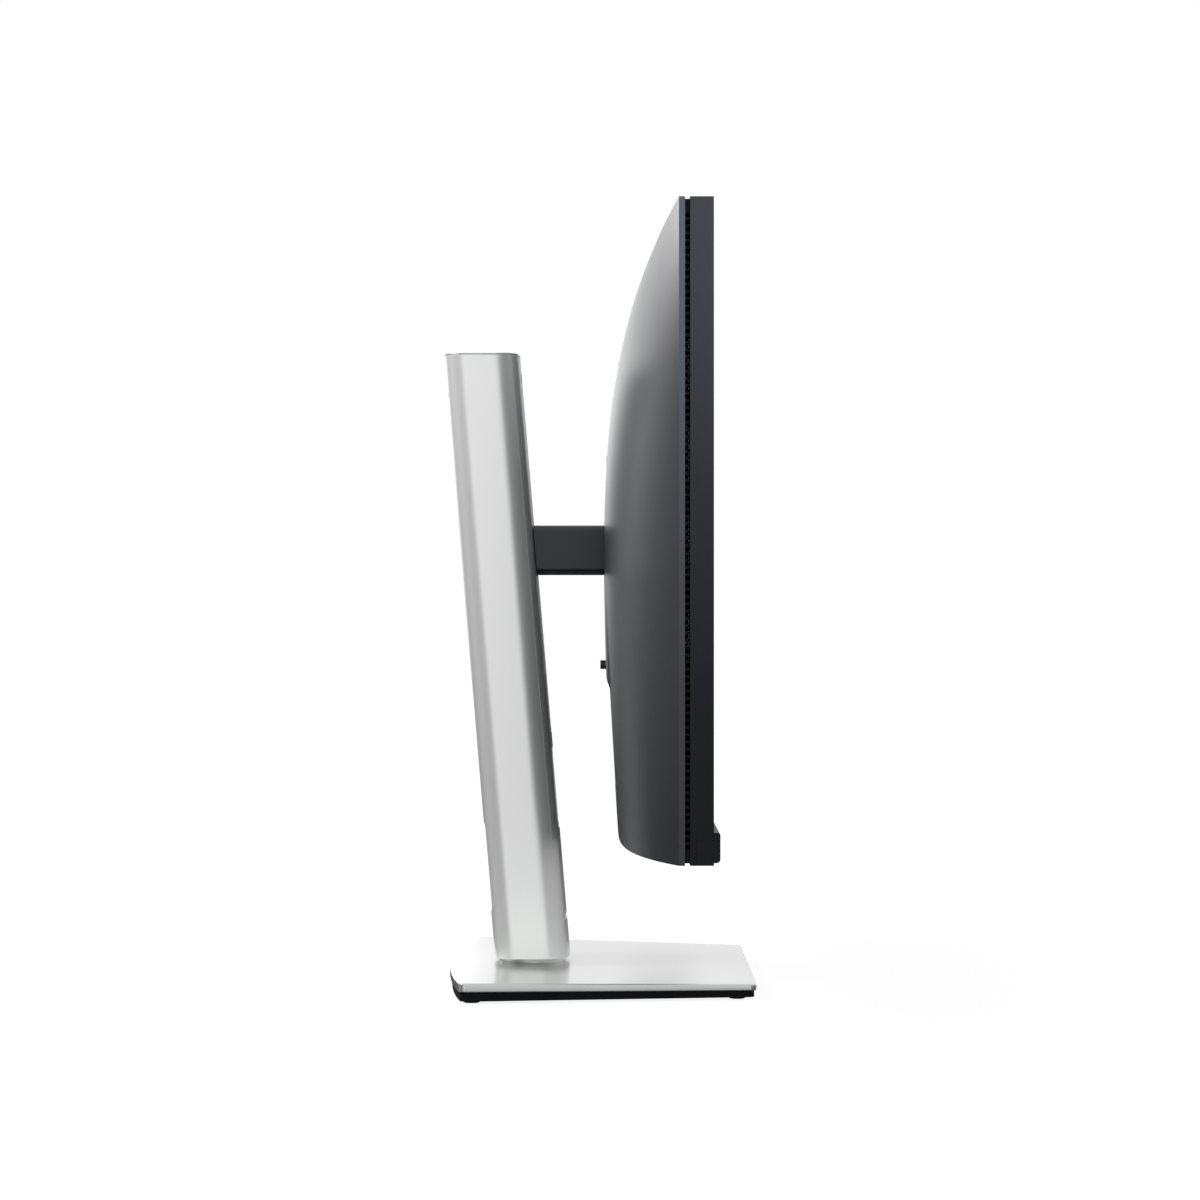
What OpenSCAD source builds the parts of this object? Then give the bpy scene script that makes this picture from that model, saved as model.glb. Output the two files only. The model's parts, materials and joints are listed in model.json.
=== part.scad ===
// Desktop monitor on a height-adjustable stand. Millimetres, +Z up, screen towards -Y.
// The origin is at desk level, in the middle of the footprint.

/* [Display] */
// Overall width of the display
display_w = 611.3; // [500:0.1:720]
// Overall height of the display
display_h = 355.4; // [300:0.1:420]
// Height of the display's lower edge above the desk
display_z = 92.1; // [80:0.1:140]
// Distance of the display's front plane ahead of the origin
display_ahead = 62.5; // [56:0.1:70]
// Depth of the middle frame's side wall
frame_depth = 12.7; // [12:0.1:16]
// Wall of the middle frame
frame_wall = 1.2; // [1:0.1:1.6]
// Depth of the LCD module behind the glass
module_depth = 7.3; // [6.8:0.1:9]

/* [Vents] */
// Width of the sunk vent strip round the sides
groove_w = 2.7; // [2.4:0.1:4]
// Height of one vent hole
vent_h = 2.2; // [1.6:0.1:2.6]
// Distance between vent holes
vent_pitch = 3.86; // [3.6:0.01:6]
// Wall of the vent grille
grille_wall = 1.5; // [1.2:0.1:2]

/* [Rear cover] */
// Flat rim of the rear cover beside the vents
rim_depth = 3.2; // [3:0.1:5]
// Bulge of the rear cover at its deepest
bulge = 39.4; // [37:0.1:45]
// Bulge at the middle of the upper edge
bulge_top = 9.4; // [6:0.1:14]
// Bulge at the middle of the lower edge
bulge_bottom = 30.9; // [28:0.1:34]
// Raised pad round the stand mount
pad_h = 1.7; // [1:0.1:3]
// Half width of the raised pad
pad_half_w = 104; // [98:1:110]
// Wall of the rear cover
cover_wall = 2.4; // [2:0.1:3]

/* [Stand mount] */
// Height of the arm's centre above the desk
arm_z = 263.7; // [250:0.1:280]
// Side of the square mount recess
recess_w = 124; // [118:1:126]
// Depth of the recess floor behind the front plane
recess_floor = 33.5; // [33:0.1:36]
// Side of the square VESA bolt pattern
vesa_pitch = 100; // [75:25:100]
// Radius of a VESA hole
vesa_hole_r = 2; // [2:0.1:2.5]
// Width of the quick-release plate
plate_w = 78; // [70:1:84]
// Height of the quick-release plate
plate_h = 110; // [104:1:112]
// Radius of the release button
button_r = 2.75; // [2.5:0.05:3]
// Travel of the release button
button_travel = 2.5; // [1.5:0.1:3]

/* [Chin] */
// Height of the chin bezel's raised bar
chin_h = 16.1; // [14:0.1:20]
// How far the raised bar stands ahead of the front plane
chin_ahead = 3.5; // [2:0.1:5]

/* [Ports] */
// Half width of the port pocket
pocket_half_w = 88; // [84:1:92]
// Height of the port pocket
pocket_h = 64; // [50:1:68]

/* [Arm] */
// Width of the arm
arm_w = 46; // [40:1:50]
// Height of the arm
arm_h = 30.1; // [28:0.1:34]
// Wall of the arm covers
arm_wall = 2.2; // [2:0.1:3]
// Radius of the tilt pin
tilt_pin_r = 4; // [3:0.1:4.5]

/* [Column] */
// Width of the column
column_w = 76; // [72:1:84]
// Depth of the column
column_d = 46.2; // [44:0.1:52]
// Height of the column's top above the desk
column_top = 383.5; // [376:0.1:400]
// Backward lean of the column in degrees
lean = 4.8; // [4:0.1:5.5]
// Wall of the column
column_wall = 2.5; // [2:0.1:3]
// Width of the arm slot
slot_w = 26; // [25:1:28]

/* [Base] */
// Distance from the base's front edge to the middle of its rear edge
base_d = 182.7; // [170:0.1:200]
// Width at the rear
base_rear_w = 287; // [260:1:320]
// Width at the front
base_front_w = 238; // [220:1:280]
// Height of the base's top at the rear
base_rear_h = 12.5; // [12:0.1:15]
// Height of the base's top at the front
base_front_h = 9.2; // [9:0.1:11]
// Radius of the rear edge
base_rear_r = 1100; // [900:10:1500]
// Wall of the base cover
base_wall = 1.6; // [1.4:0.1:2]
// Thickness of the steel weight plate
weight_t = 3; // [2.5:0.1:3.2]
// How far the feet stand out below the tray
foot_h = 1.6; // [1.2:0.1:2]
// Gap between the base and the column
neck_gap = 3.9; // [3:0.1:6]
// Radius of the swivel hub
hub_r = 19.5; // [18:0.1:20]

/* [Hidden] */
$fn = 64;
eps = 0.05;
fit = 0.05; // running clearance of a pin in its bore
gap = 0.4;  // clearance between parts that stay apart

// The display's own frame: y(d) is the place of a depth d behind the front plane.
function y(d) = d - display_ahead;
half_w = display_w / 2;
display_top = display_z + display_h;
groove_depth = frame_wall + eps;
groove_at = frame_depth;
rim_at = groove_at + groove_w;
bulge_at = rim_at + rim_depth;
back_at = bulge_at + bulge;

// The LCD module
glass_at = 0.4;
lcd_t = 1.8;
sheet_t = 1.0;
guide_t = 3.0;
tray_t = 0.8;
module_at = glass_at + module_depth;
chin_split = display_z + chin_h - 2.9;
chin_body_d = 9.3;
lcd_x = half_w - frame_wall - gap;
lcd_lo = chin_split + gap;
lcd_hi = display_top - frame_wall - gap;

// The column leans back about the swivel axis
base_front_y = -93.3;
base_rear_y = base_front_y + base_d;
axis_y = base_front_y + 132.8;
function base_top(yy) =
    base_front_h + (base_rear_h - base_front_h) * (yy - base_front_y) / base_d;
hub_top = base_top(axis_y) + neck_gap;
column_z = hub_top;
column_len = (column_top - column_z) / cos(lean);
function column_front_y(z) = axis_y - column_d / 2 / cos(lean) + (z - column_z) * tan(lean);
front_cover_d = 5;
rear_corner_r = 13;
front_corner_r = 15;
rear_crown_r = 240;
front_crown_r = 267;
slot_lo = 141 + 10;
slot_hi = column_top - 13;
cable_front = [92, 141];
cable_rear = [46, 99];
cable_front_w = 40;
cable_rear_w = 54;
notch = [36.5, 39.5];
arm_s = (arm_z - column_z) * cos(lean) + (y_arm() - axis_y) * sin(lean);
function y_arm() = column_front_y(arm_z) + column_d / 2;

// Tilt and pivot
tilt_y = y(51.5);
bracket_at = 41.5;   // rear face of the tilt bracket's plate, as a depth
bracket_t = 3;
washer_t = 0.8;
plate_t = 3;
pivot_r = 7;
plate_at = bracket_at - washer_t - 0.2; // rear face of the quick-release plate
pivot_head_t = 0.9;
// wire that fits between the tilt pin and the pivot shaft's head
tilt_wire = (51.5 - bracket_at - bracket_t - pivot_head_t - tilt_pin_r - gap) / 2;
ear_t = 3.7;
ear_in = 11;
arm_ear_in = ear_in + ear_t + 0.3;
arm_ear_t = 4;
trim_hole_r = 34;

// Release latch
button_z = arm_z - 70.3;
latch_w = 16;
latch_t = 2.2;
latch_at = 38;
latch_ratio = 1.6; // latch travel for each unit of button travel
latch_travel = button_travel * latch_ratio;

// Joystick at the rear, low on the side
stick_x = 250;
stick_z = 118;
stick_board_at = 20;

// ---- shared shapes ----

// A block given by its half width or side limits, its depths and its heights
module slab(x0, x1, d0, d1, z0, z1) {
    translate([x0, y(d0), z0]) cube([x1 - x0, d1 - d0, z1 - z0]);
}

// A rectangle across the whole display, inset on all sides
module sheet(inset, d0, d1) {
    slab(-half_w + inset, half_w - inset, d0, d1, display_z + inset, display_top - inset);
}

// A round bar along Y from depth d0 to d1
module rod(r, d0, d1, x, z, sides = 64) {
    translate([x, y(d1), z]) rotate([90, 0, 0]) cylinder(r = r, h = d1 - d0, $fn = sides);
}

// A round bar along X
module cross_rod(r, x0, x1, yy, z) {
    translate([x0, yy, z]) rotate([0, 90, 0]) cylinder(r = r, h = x1 - x0);
}

function arc(cx, cy, r, a0, a1, n) =
    [for (i = [0:n]) let (a = a0 + (a1 - a0) * i / n) [cx + r * cos(a), cy + r * sin(a)]];

module rounded_rect(w, h, r) {
    polygon(concat(
        arc(w / 2 - r, h / 2 - r, r, 0, 90, 6), arc(r - w / 2, h / 2 - r, r, 90, 180, 6),
        arc(r - w / 2, r - h / 2, r, 180, 270, 6), arc(w / 2 - r, r - h / 2, r, 270, 360, 6)));
}

// A rounded block in the display's frame, centred on the arm's height
module mount_block(w, h, r, d0, d1, z = arm_z) {
    translate([0, y(d1), z]) rotate([90, 0, 0]) linear_extrude(d1 - d0) rounded_rect(w, h, r);
}

// Coil of round wire along Z, as touching turns
module coil(r, wire, turns, pitch) {
    for (i = [0:turns - 1]) translate([0, 0, i * pitch])
        rotate_extrude() translate([r, 0]) circle(r = wire, $fn = 24);
}

// ---- rear cover ----

function ease(t) = 1 - pow(1 - max(0, min(1, t)), 2.75);
function smooth(t) = let (u = max(0, min(1, t))) u * u * (3 - 2 * u);
belly_z = display_z + 158;
drop = (bulge - bulge_bottom) / pow(belly_z - display_z, 1.166);
function spine(z) = z > belly_z
    ? bulge_top + (bulge - bulge_top) * ease((display_top - z) / (display_top - belly_z))
    : bulge - drop * pow(belly_z - z, 1.166);
function side_power(z) =
    z > belly_z ? 1.3 + 2.5 * ease((display_top - z) / (display_top - belly_z)) : 3.8;
pad_z = arm_z - 80.7;
function pad(x, z) = pad_h * smooth((pad_half_w + 6 - abs(x)) / 12) * smooth((z - pad_z + 4) / 8)
    * max(0, min(1, (belly_z - z) / (belly_z - pad_z)));
function cover_h(x, z) =
    spine(z) * (1 - pow(min(1, abs(x) / half_w), side_power(z))) + pad(x, z);

grid_x = concat(
    [-half_w, -half_w + 9, -half_w + 24, -half_w + 44, -half_w + 68, -half_w + 96, -half_w + 126,
     -half_w + 154],
    [-pad_half_w - 6, -pad_half_w, -pad_half_w + 6, -52, -17, 17, 52, pad_half_w - 6, pad_half_w,
     pad_half_w + 6],
    [half_w - 154, half_w - 126, half_w - 96, half_w - 68, half_w - 44, half_w - 24, half_w - 9,
     half_w]);
upper_rows = 11;
grid_z = concat(
    [for (i = [0:3]) display_z + (pad_z - 4 - display_z) * i / 4],
    [pad_z - 4, pad_z, pad_z + 4, pad_z + 20, pad_z + 40, belly_z],
    [for (i = [1:upper_rows]) display_top - (display_top - belly_z) * pow(1 - i / upper_rows, 1.25)]);

// Closed solid under the bulged surface, shrunk in X and Z and sunk by a wall
module bulged(inset, sink, from) {
    kx = (half_w - inset) / half_w;
    kz = (display_h - 2 * inset) / display_h;
    mid_z = display_z + display_h / 2;
    nx = len(grid_x);
    nz = len(grid_z);
    pts = concat(
        [for (z = grid_z) for (x = grid_x)
            [x * kx, y(bulge_at - sink + cover_h(x, z)), mid_z + (z - mid_z) * kz]],
        [for (z = [grid_z[0], grid_z[nz - 1]]) for (x = [grid_x[0], grid_x[nx - 1]])
            [x * kx, y(from), mid_z + (z - mid_z) * kz]]);
    n = nx * nz;
    faces = concat(
        [for (j = [0:nz - 2]) for (i = [0:nx - 2])
            [j * nx + i, (j + 1) * nx + i + 1, (j + 1) * nx + i]],
        [for (j = [0:nz - 2]) for (i = [0:nx - 2])
            [j * nx + i, j * nx + i + 1, (j + 1) * nx + i + 1]],
        [concat([n + 1, for (i = [nx - 1:-1:0]) i], [n])],
        [concat([n + 2, for (i = [0:nx - 1]) (nz - 1) * nx + i], [n + 3])],
        [concat([n, for (j = [0:nz - 1]) j * nx], [n + 2])],
        [concat([n + 3, for (j = [nz - 1:-1:0]) j * nx + nx - 1], [n + 1])],
        [[n + 2, n + 3, n + 1, n]]);
    polyhedron(points = pts, faces = faces);
}

pocket_top = pad_z - 2.6;
pocket_at = 27;
// One smooth moulding, still solid where the mount recess and the port pocket will be cut
module cover_shell() resize([display_w, 0, display_h]) difference() {
    bulged(0, 0, rim_at);
    difference() {
        union() {
            bulged(cover_wall, cover_wall, bulge_at - cover_wall);
            sheet(frame_wall, rim_at - 1, bulge_at - cover_wall + eps);
        }
        slab(-recess_w / 2 - 2, recess_w / 2 + 2, recess_floor - 2, back_at + 5,
             arm_z - recess_w / 2 - 2, arm_z + recess_w / 2 + 2);
        slab(-pocket_half_w - 2, pocket_half_w + 2, pocket_at - 2, back_at + 5,
             pocket_top - pocket_h - 2, pocket_top + 2);
        slab(-button_r - 3, button_r + 3, 44, back_at, button_z - 6, button_z + 6);
        slab(stick_x - 10, stick_x + 10, stick_pivot + 1.8, back_at, stick_z - 10, stick_z + 10);
    }
}
module rear_cover() color("#3c4046") difference() {
    cover_shell();
    mount_block(recess_w, recess_w, 6, recess_floor, back_at + 5);
    slab(-pocket_half_w, pocket_half_w, pocket_at, back_at + 5, pocket_top - pocket_h, pocket_top);
    // holes: VESA bolts, cover screws, latch slot, button guide, joystick, ports, lock
    for (x = [-1, 1], z = [-1, 1])
        rod(vesa_hole_r + 0.5, recess_floor - 5, recess_floor + 5,
            x * vesa_pitch / 2, arm_z + z * vesa_pitch / 2);
    for (x = [-1, 1]) rod(1.7, recess_floor - 5, recess_floor + 5, x * cover_screw_x, arm_z);
    slab(-latch_w / 2 - gap, latch_w / 2 + gap, latch_at - gap, latch_at + latch_t + gap,
         arm_z - recess_w / 2 - 7, arm_z - recess_w / 2 + 2);
    rod(button_r + 0.2, 40, back_at + 5, 0, button_z);
    rod(stick_hole_r, stick_board_at + 4, back_at + 5, stick_x, stick_z);
    for (p = port_list) slab(p[0] - p[1] / 2 - 0.2, p[0] + p[1] / 2 + 0.2, port_at - 0.2,
                             port_at + p[2] + 0.2, pocket_top - 3, pocket_top + 3);
    slab(lock_x - 3.5, lock_x + 3.5, lock_at, back_at + 5, lock_z, lock_z + 3);
}
cover_screw_x = 56;
stick_hole_r = 6.8;
lock_x = half_w - 121.5;
lock_z = 112;
lock_at = 18;

// ---- display body ----

module middle_frame() color("#33363b") difference() {
    union() {
        difference() {
            sheet(0, 0, frame_depth);
            sheet(frame_wall, -1, frame_depth + 1);
        }
        // shelf that the LCD module rests on
        difference() {
            sheet(frame_wall - eps, module_at, module_at + 1.4);
            sheet(9, module_at - 1, module_at + 3);
        }
    }
    // cut away for the chin bezel
    slab(-half_w - 1, half_w + 1, -1, chin_body_d + eps, display_z - 1, chin_split + eps);
}

vent_rows = floor((display_h - 14) / vent_pitch);
vent_cols = floor((display_w - 16) / vent_pitch);
module vent_grille() color("#24262a") difference() {
    d0 = groove_at - 1.7;
    d1 = bulge_at - cover_wall - 0.1;
    sheet(groove_depth, d0, d1);
    sheet(groove_depth + grille_wall, d0 - 1, d1 + 1);
    d2 = groove_at + 0.1;
    d3 = rim_at - 0.1;
    for (i = [0:vent_rows - 1])
        let (z = display_z + display_h / 2 + (i - (vent_rows - 1) / 2) * vent_pitch)
            slab(-half_w - 1, half_w + 1, d2, d3, z - vent_h / 2, z + vent_h / 2);
    for (i = [0:vent_cols - 1])
        let (x = (i - (vent_cols - 1) / 2) * vent_pitch)
            slab(x - vent_h / 2, x + vent_h / 2, d2, d3, display_top - 5, display_top + 1);
}

chin_lo = display_z + 1.4;
chin_hi = display_z + chin_h + 1.4;
power_x = half_w - 32;
power_depth = 5.3;
power_r = 2.2;
module chin_bezel() color("#33363b") difference() {
    union() {
        slab(-half_w, half_w, 0, chin_body_d, display_z, chin_split);
        translate([-half_w, 0, 0]) rotate([90, 0, 90]) linear_extrude(display_w) polygon(concat(
            [[y(0), chin_lo], [y(0), chin_hi]],
            arc(y(-chin_ahead) + 1.6, chin_hi - 1.6, 1.6, 90, 165, 5),
            arc(y(-chin_ahead) + 2.4, chin_lo + 2.4, 2.4, 195, 270, 5)));
    }
    slab(-half_w + 2, half_w - 2, 2, chin_body_d + 1, display_z + 2, chin_split - 1.6);
    // power button below, power light at the front
    translate([power_x, y(power_depth), display_z - 1]) cylinder(r = power_r + 0.2, h = 4);
    rod(1.05, -chin_ahead - 2, 3, power_x, display_z + 9);
}
module power_button() color("#1b1c1f") {
    translate([power_x, y(power_depth), display_z + 0.2]) cylinder(r = power_r, h = 5);
    translate([power_x, y(power_depth), display_z + 2.3]) cylinder(r = power_r + 0.7, h = 1.2);
}
module power_led_lens() color("white") rod(1, -chin_ahead + 0.1, 2, power_x, display_z + 9);

module lcd_panel() color("#0b0c0e")
    slab(-lcd_x, lcd_x, glass_at, glass_at + lcd_t, lcd_lo, lcd_hi);
sheets_at = glass_at + lcd_t;
guide_at = sheets_at + sheet_t;
tray_at = module_at - tray_t;
module optical_sheets() color("white") for (i = [0:2])
    slab(-lcd_x + 2.5, lcd_x - 2.5, sheets_at + i * sheet_t / 3, sheets_at + (i + 0.94) * sheet_t / 3,
         lcd_lo + 2.5, lcd_hi - 2.5);
module light_guide() color("#e8f4f8")
    slab(-lcd_x + 2.5, lcd_x - 2.5, guide_at, guide_at + guide_t, lcd_lo + 7, lcd_hi - 2.5);
led_n = 48;
module led_strip() color("#f5f0d8") {
    slab(-lcd_x + 3, lcd_x - 3, guide_at, guide_at + guide_t, lcd_lo + 2, lcd_lo + 3);
    for (i = [0:led_n - 1]) let (x = (i - (led_n - 1) / 2) * (2 * lcd_x - 20) / led_n)
        slab(x - 2, x + 2, guide_at + 0.5, guide_at + 2.5, lcd_lo + 3, lcd_lo + 6.8);
}
module panel_tray() color("#9aa0a6") difference() {
    slab(-lcd_x, lcd_x, sheets_at, module_at, lcd_lo, lcd_hi);
    slab(-lcd_x + 1, lcd_x - 1, sheets_at - 1, tray_at, lcd_lo + 1, lcd_hi - 1);
}

chassis_at = module_at + 3;
chassis_t = 1.2;
chassis_x = half_w - 28;
chassis_lo = display_z + 16;
chassis_hi = display_top - 24;
board_at = 26.4;
board_t = 1.6;
leg_x = 56;
leg_z = 50;
leg_half = 5;
module chassis() color("#a8adb2") {
    difference() {
        slab(-chassis_x, chassis_x, chassis_at, chassis_at + chassis_t, chassis_lo, chassis_hi);
        for (x = [-1, 1], z = [0:3])
            slab(x * 238 - 14, x * 238 + 14, chassis_at - 1, chassis_at + 3,
                 chassis_lo + 90 + z * 50, chassis_lo + 120 + z * 50);
        slab(-cable_x - 8, -cable_x + 8, chassis_at - 1, chassis_at + 3, main_lo + 29.5, main_lo + 32);
    }
    // pads against the LCD module
    for (x = [-1, 0, 1] * (chassis_x - 20), z = [chassis_lo, chassis_hi - 20])
        slab(x - 15, x + 15, module_at, chassis_at + eps, z, z + 20);
    // legs of the VESA plate, board posts and joystick posts
    for (x = [-1, 1], z = [-1, 1])
        slab(x * leg_x - leg_half, x * leg_x + leg_half, chassis_at + chassis_t - eps, vesa_at,
             arm_z + z * leg_z - leg_half, arm_z + z * leg_z + leg_half);
    for (p = main_posts) rod(2.6, chassis_at + chassis_t - eps, board_at, p[0], p[1]);
    for (p = power_posts) rod(2.6, chassis_at + chassis_t - eps, power_at, p[0], p[1]);
    for (x = [-10, 10]) rod(2.4, chassis_at + chassis_t - eps, stick_board_at, stick_x + x, stick_z + 12);
}
main_lo = pocket_top + 4.5;
main_hi = main_lo + 48;
main_x = pocket_half_w;
main_posts = [for (x = [-1, 1], z = [main_lo + 4, main_hi - 4]) [x * (main_x - 4), z]];
cable_x = 75;
power_at = 20;
power_x0 = -210;
power_x1 = -100;
power_lo = arm_z - 60;
power_hi = arm_z + 70;
power_posts = [for (x = [power_x0 + 5, power_x1 - 5], z = [power_lo + 5, power_hi - 5]) [x, z]];
vesa_t = 2.4;
vesa_at = recess_floor - 2 - vesa_t;
module vesa_plate() color("#8d9297") difference() {
    mount_block(recess_w, recess_w, 4, vesa_at, vesa_at + vesa_t);
    for (x = [-1, 1], z = [-1, 1])
        rod(vesa_hole_r, vesa_at - 1, vesa_at + 4, x * vesa_pitch / 2, arm_z + z * vesa_pitch / 2);
    for (x = [-1, 1]) rod(1.5 + fit, vesa_at - 1, vesa_at + 4, x * cover_screw_x, arm_z);
}
module cover_screws() color("#55585c") for (x = [-1, 1]) {
    rod(1.5, vesa_at - 1.5, recess_floor + eps, x * cover_screw_x, arm_z);
    difference() {
        rod(2.9, recess_floor, recess_floor + 1.8, x * cover_screw_x, arm_z);
        rod(1.2, recess_floor + 0.9, recess_floor + 2, x * cover_screw_x, arm_z);
    }
}

// Ports: x, width and height of each, sockets facing down into the pocket
port_at = board_at + board_t + 0.3;
port_h = 13;
port_list = [[-62, 27, 19], [16, 15, 5.6], [38, 17, 5.6], [60, 12, 10.8], [-32, 13.2, 5.8],
             [-14, 13.2, 5.8]];
module socket(p, wall = 0.6) {
    top = pocket_top + port_h;
    difference() {
        slab(p[0] - p[1] / 2, p[0] + p[1] / 2, port_at, port_at + p[2], pocket_top, top);
        slab(p[0] - p[1] / 2 + wall, p[0] + p[1] / 2 - wall, port_at + wall, port_at + p[2] - wall,
             pocket_top - 1, top - 2);
    }
    slab(p[0] - p[1] / 2 + wall + 2, p[0] + p[1] / 2 - wall - 2, port_at + p[2] / 2 - 0.8,
         port_at + p[2] / 2 + 0.8, pocket_top + 2, top - 1.9);
}
module power_inlet() color("#17181a") {
    p = port_list[0];
    difference() {
        slab(p[0] - p[1] / 2, p[0] + p[1] / 2, port_at, port_at + p[2], pocket_top, pocket_top + port_h);
        slab(p[0] - p[1] / 2 + 1.5, p[0] + p[1] / 2 - 1.5, port_at + 1.5, port_at + p[2] - 1.5,
             pocket_top - 1, pocket_top + port_h - 2);
    }
    for (x = [-7, 0, 7]) slab(p[0] + x - 1, p[0] + x + 1, port_at + p[2] / 2 - 2 + abs(x) / 3.5,
        port_at + p[2] / 2 + 2 + abs(x) / 3.5, pocket_top + 1, pocket_top + port_h - 1.9);
}
module video_ports() color("silver") for (i = [1, 2]) socket(port_list[i]);
module usb_ports() color("silver") for (i = [3:5]) socket(port_list[i]);

module main_board() color("#14532d") {
    difference() {
        slab(-main_x, main_x, board_at, board_at + board_t, main_lo, main_hi);
        for (p = main_posts) rod(1.3, board_at - 1, board_at + 4, p[0], p[1]);
        leg_hole = leg_half + gap;
        for (x = [-leg_x, leg_x]) slab(x - leg_hole, x + leg_hole, board_at - 1, board_at + 4,
                                       arm_z - leg_z - leg_hole, arm_z - leg_z + leg_hole);
    }
    // chips and capacitors on the screen side
    slab(-10, 18, board_at - 2.4, board_at + eps, main_lo + 14, main_lo + 40);
    slab(30, 42, board_at - 1.4, board_at + eps, main_lo + 18, main_lo + 30);
    slab(-40, -28, board_at - 1.4, board_at + eps, main_lo + 18, main_lo + 30);
    for (i = [0:2]) rod(3, board_at - 7, board_at + eps, 67 + i * 7.5, main_lo + 32);
    slab(-84, -66, board_at - 4.5, board_at + eps, main_lo + 28, main_lo + 33);
}
module power_board() color("#a3854a") {
    difference() {
        slab(power_x0, power_x1, power_at, power_at + board_t, power_lo, power_hi);
        for (p = power_posts) rod(1.3, power_at - 1, power_at + 4, p[0], p[1]);
    }
    slab(-176, -146, power_at + board_t - eps, power_at + 16, power_lo + 44, power_lo + 76);
    rod(9, power_at + board_t - eps, power_at + 18, -188, power_lo + 26);
    rod(5, power_at + board_t - eps, power_at + 15, -120, power_lo + 100);
    rod(5, power_at + board_t - eps, power_at + 15, -134, power_lo + 100);
    slab(-124, -120, power_at + board_t - eps, power_at + 15, power_lo + 20, power_lo + 70);
    slab(-112, -104, power_at + board_t - eps, power_at + 7, power_lo + 10, power_lo + 16);
}
module panel_cable() color("#c9a227") {
    x0 = -cable_x - 7;
    x1 = -cable_x + 7;
    slab(x0, x1, module_at, module_at + 0.6, chassis_lo + 4, main_lo + 31);
    slab(x0, x1, module_at, board_at - 4.5, main_lo + 30.4, main_lo + 31);
    slab(x0, x1, board_at - 5.1, board_at - 4.5, main_lo + 28.5, main_lo + 31);
}
module board_screws() color("#c8ccd0") {
    for (p = main_posts) {
        rod(1.25, board_at, board_at + board_t + eps, p[0], p[1]);
        rod(2.6, board_at + board_t, board_at + board_t + 1.6, p[0], p[1]);
    }
    for (p = power_posts) {
        rod(1.25, power_at, power_at + board_t + eps, p[0], p[1]);
        rod(2.6, power_at + board_t, power_at + board_t + 1.6, p[0], p[1]);
    }
}

// ---- joystick ----

stick_pivot = stick_board_at + 8;
module control_board() color("#14532d")
    slab(stick_x - 15, stick_x + 15, stick_board_at, stick_board_at + 1.2,
         stick_z - 10, stick_z + 16);
module joystick_base() color("#2a2c2f") difference() {
    slab(stick_x - 7, stick_x + 7, stick_board_at + 1.2, stick_pivot + 1.5, stick_z - 7, stick_z + 7);
    slab(stick_x - 5.2, stick_x + 5.2, stick_board_at + 2, stick_pivot + 2, stick_z - 5.2, stick_z + 5.2);
    cross_rod(0.8 + fit, stick_x - 8, stick_x + 8, y(stick_pivot), stick_z);
}
// Ring on a pin along X: it rocks the stick up and down
module joystick_gimbal() color("#d0d0d0") difference() {
    union() {
        slab(stick_x - 4.6, stick_x + 4.6, stick_pivot - 1.1, stick_pivot + 1.1,
             stick_z - 4.2, stick_z + 4.2);
        cross_rod(0.8, stick_x - 6.6, stick_x + 6.6, y(stick_pivot), stick_z);
    }
    slab(stick_x - 3, stick_x + 3, stick_pivot - 2, stick_pivot + 2, stick_z - 2.6, stick_z + 2.6);
    translate([stick_x, y(stick_pivot), stick_z - 5]) cylinder(r = 0.7 + fit, h = 10);
}
// Stick on a pin along Z: it rocks from side to side
stick_end = 36;
module joystick_stem() color("#d0d0d0") {
    rod(1.6, stick_pivot - 1.6, stick_end, stick_x, stick_z);
    translate([stick_x, y(stick_pivot), stick_z - 4]) cylinder(r = 0.7, h = 8);
}
module joystick_cap() color("#1b1c1f") difference() {
    union() {
        rod(3, stick_pivot + 3.6, stick_end + 1, stick_x, stick_z);
        rod(5.4, stick_end + 0.8, stick_end + 6, stick_x, stick_z);
    }
    rod(1.6 + fit, stick_pivot, stick_end + 1.2, stick_x, stick_z);
    rod(3.6, stick_end + 5.4, stick_end + 7, stick_x, stick_z);
}

// ---- release ----

button_tip = 60.3;
shoulder = 46.5;
stem_r = 1.5;
module release_button() color("#101113") {
    rod(button_r, shoulder, button_tip, 0, button_z);
    rod(stem_r, latch_at - 5, shoulder + eps, 0, button_z);
}
module release_latch() color("#b8bcc0") difference() {
    slab(-latch_w / 2, latch_w / 2, latch_at, latch_at + latch_t,
         button_z - 6, arm_z - recess_w / 2 + 3.2);
    // clears the button's stem through the latch's whole travel
    rod(stem_r + 0.3, latch_at - 1, latch_at + 4, 0, button_z);
    rod(stem_r + 0.3, latch_at - 1, latch_at + 4, 0, button_z + latch_travel);
    slab(-stem_r - 0.3, stem_r + 0.3, latch_at - 1, latch_at + 4, button_z, button_z + latch_travel);
}
module release_spring() color("silver")
    translate([0, y(shoulder) - 0.45, button_z]) rotate([90, 0, 0]) coil(2.3, 0.4, 8, 0.75);

// ---- quick release, pivot and tilt: all about the arm's height ----

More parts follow.
